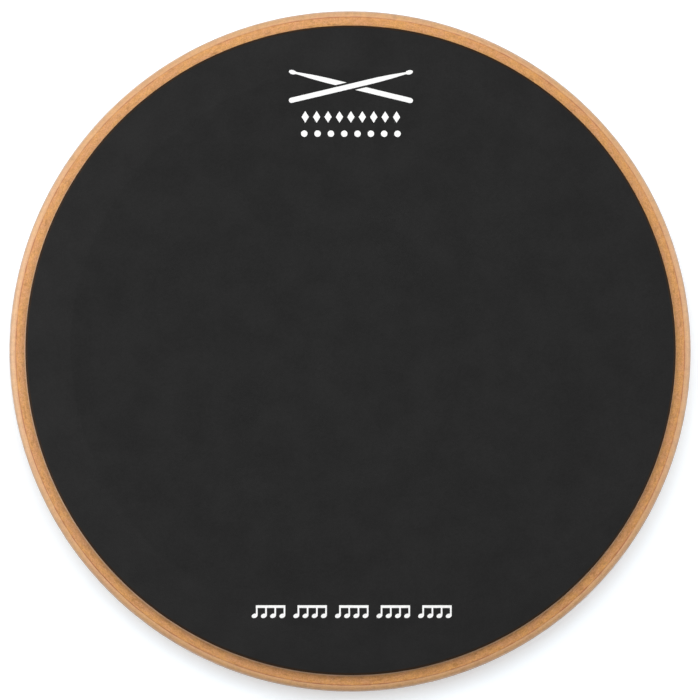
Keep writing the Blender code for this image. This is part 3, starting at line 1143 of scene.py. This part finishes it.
studio = {
    "floorSize": 8.0,
    "floorTone": 0.85,
    "floorTint": (0.90, 1.0, 1.08),
    "floorRoughness": 0.9,
    "floorLift": 0.385,
    "whiteFrom": 0.30,
    "whiteBy": 0.75,
    # underPad: the painted shadow's level under the pad, deepest from underPadFrom inwards
    "underPad": 0.45,
    "underPadFrom": 0.5 * boardRadius,
    "glossLift": 1.25,
    "bounceTone": 0.45,
    "glow": 0.42,
    "outerGlow": 0.08,
    "glowFrom": 0.85 * boardRadius,
    "endGloss": 0.15,
    "floorEnds": (0.18, 0.40),
    "roomEnds": (0.20, 0.70),
    "roomLight": 0.20,
    "cameraDistance": 2.5,
    "cameraTilt": 2.8,
    "cameraLean": -1.05,
    "viewWidth": 0.3120,
    "aim": (-0.0004, -0.0003),
    "sensor": 36,
    "clip": (0.1, 20),
}

lamps = {
    "overheadBox": {"place": (0.0, 0.11, 1.15), "aim": (0, 0, 0), "size": (0.8, 0.6), "watts": 9.3,
                    "glossy": False},
    "backBox": {"place": (0.0, 0.85, 0.60), "aim": (0, 0.05, 0), "size": (0.8, 0.4), "watts": 2.3,
                "glossy": False},
    "leftBox": {"place": (-0.75, 0.10, 0.42), "aim": (0, 0, 0), "size": (0.7, 0.4), "watts": 2.6,
                "glossy": True},
    "rightBox": {"place": (0.9, 0.10, 0.42), "aim": (0, 0, 0), "size": (0.7, 0.4), "watts": 1.6,
                 "glossy": True},
}


def seenRays(tree):
    # 1 for rays that show the surroundings, 0 for rays that only light the pad
    path = tree.nodes.new("ShaderNodeLightPath").outputs
    seen = calc(tree, "MAXIMUM", path["Is Camera Ray"],
                calc(tree, "MAXIMUM", path["Is Glossy Ray"], path["Is Transmission Ray"]))
    return seen, path["Is Glossy Ray"]


def dimmedEnds(tree, place, glossy, reaches):
    # the near and far ends are dimmer in reflections than the two sides
    depth = calc(tree, "ABSOLUTE", splitVector(tree, place)["Y"])
    ends = times(tree, rangeMask(tree, depth, *reaches), glossy)
    return blendValue(tree, ends, 1.0, studio["endGloss"])


def makeFloorFinish():
    size = studio
    material = bpy.data.materials.new("whiteFloor")
    material.use_nodes = True
    tree = material.node_tree
    seen, glossy = seenRays(tree)
    # the floor throws less light back onto the pad's side than the eye sees
    tint = addNode(tree, "ShaderNodeCombineColor")
    for socket, share in zip(tint.inputs, size["floorTint"]):
        plug(tree, socket, blendValue(tree, seen, size["bounceTone"], size["floorTone"] * share))
    matt = feed(tree, tree.nodes["Principled BSDF"], Base_Color=tint.outputs[0],
                Roughness=size["floorRoughness"], Specular_IOR_Level=0.0)
    place = tree.nodes.new("ShaderNodeTexCoord").outputs["Object"]
    away = feed(tree, addNode(tree, "ShaderNodeVectorMath", operation="LENGTH"), Vector=place)
    away = away.outputs["Value"]
    far = rangeMask(tree, away, size["whiteFrom"], size["whiteBy"], size["floorLift"], 1.0)
    # painted shadow: the floor is dimmed under the pad, deepest from half its radius inwards
    under = rangeMask(tree, away, size["underPadFrom"], boardRadius, size["underPad"], 1.0)
    # gloss sees the floor brighter there than the eye does, so the zinc keeps its shine
    shade = calc(tree, "MAXIMUM", under, times(tree, glossy, size["glossLift"]))
    shade = times(tree, shade, dimmedEnds(tree, place, glossy, size["floorEnds"]))
    # a faint glow below the pad, seen only by its underside
    glow = blendValue(tree, rangeMask(tree, away, boardRadius, size["glowFrom"]),
                      size["outerGlow"], size["glow"])
    glow = times(tree, calc(tree, "SUBTRACT", 1.0, seen), glow)
    level = calc(tree, "ADD", times(tree, seen, times(tree, far, shade)), glow)
    lift = feed(tree, addNode(tree, "ShaderNodeEmission"), Color=(1, 1, 1, 1), Strength=level)
    both = tree.nodes.new("ShaderNodeAddShader")
    plug(tree, both.inputs[0], matt.outputs[0])
    plug(tree, both.inputs[1], lift.outputs[0])
    # seen from below the floor is clear
    side = tree.nodes.new("ShaderNodeMixShader")
    plug(tree, side.inputs[0], tree.nodes.new("ShaderNodeNewGeometry").outputs["Backfacing"])
    plug(tree, side.inputs[1], both.outputs[0])
    plug(tree, side.inputs[2], tree.nodes.new("ShaderNodeBsdfTransparent").outputs[0])
    plug(tree, tree.nodes["Material Output"].inputs[0], side.outputs[0])
    return material


def makeFloor():
    reach = studio["floorSize"] / 2
    mesh = bpy.data.meshes.new("floor")
    mesh.from_pydata([(-reach, -reach, 0), (reach, -reach, 0), (reach, reach, 0), (-reach, reach, 0)],
                     [], [(0, 1, 2, 3)])
    mesh.materials.append(makeFloorFinish())
    floor = bpy.data.objects.new("floor", mesh)
    stageFolder.objects.link(floor)


def makeRoom():
    world = bpy.data.worlds.new("room")
    scene.world = world
    world.use_nodes = True
    tree = world.node_tree
    seen, glossy = seenRays(tree)
    level = calc(tree, "ADD", times(tree, seen, 1.0 - studio["roomLight"]), studio["roomLight"])
    heading = tree.nodes.new("ShaderNodeTexCoord").outputs["Generated"]
    level = times(tree, level, dimmedEnds(tree, heading, glossy, studio["roomEnds"]))
    feed(tree, tree.nodes["Background"], Color=(1, 1, 1, 1), Strength=level)


def makeLamp(name, place, aim, size, watts, glossy):
    data = bpy.data.lights.new(name, "AREA")
    data.shape = "RECTANGLE"
    data.size, data.size_y = size
    data.energy = watts
    lamp = bpy.data.objects.new(name, data)
    lamp.visible_camera = False
    lamp.visible_glossy = glossy
    lamp.location = place
    lamp.rotation_euler = (Vector(aim) - Vector(place)).to_track_quat("-Z", "Y").to_euler()
    stageFolder.objects.link(lamp)


def makeCamera():
    size = studio
    aim = Vector((*size["aim"], skinHigh.z))
    tilt, lean = math.radians(size["cameraTilt"]), math.radians(size["cameraLean"])
    turn = Matrix.Rotation(lean, 4, "Y") @ Matrix.Rotation(tilt, 4, "X")
    data = bpy.data.cameras.new("camera")
    data.sensor_width = size["sensor"]
    data.lens = size["sensor"] * size["cameraDistance"] / size["viewWidth"]
    data.clip_start, data.clip_end = size["clip"]
    camera = bpy.data.objects.new("camera", data)
    camera.location = aim + turn @ Vector((0, 0, size["cameraDistance"]))
    camera.rotation_euler = turn.to_euler()
    stageFolder.objects.link(camera)
    scene.camera = camera


makeFloor()
makeRoom()
for lampName, lamp in lamps.items():
    makeLamp(lampName, **lamp)
makeCamera()
print("studio ready")
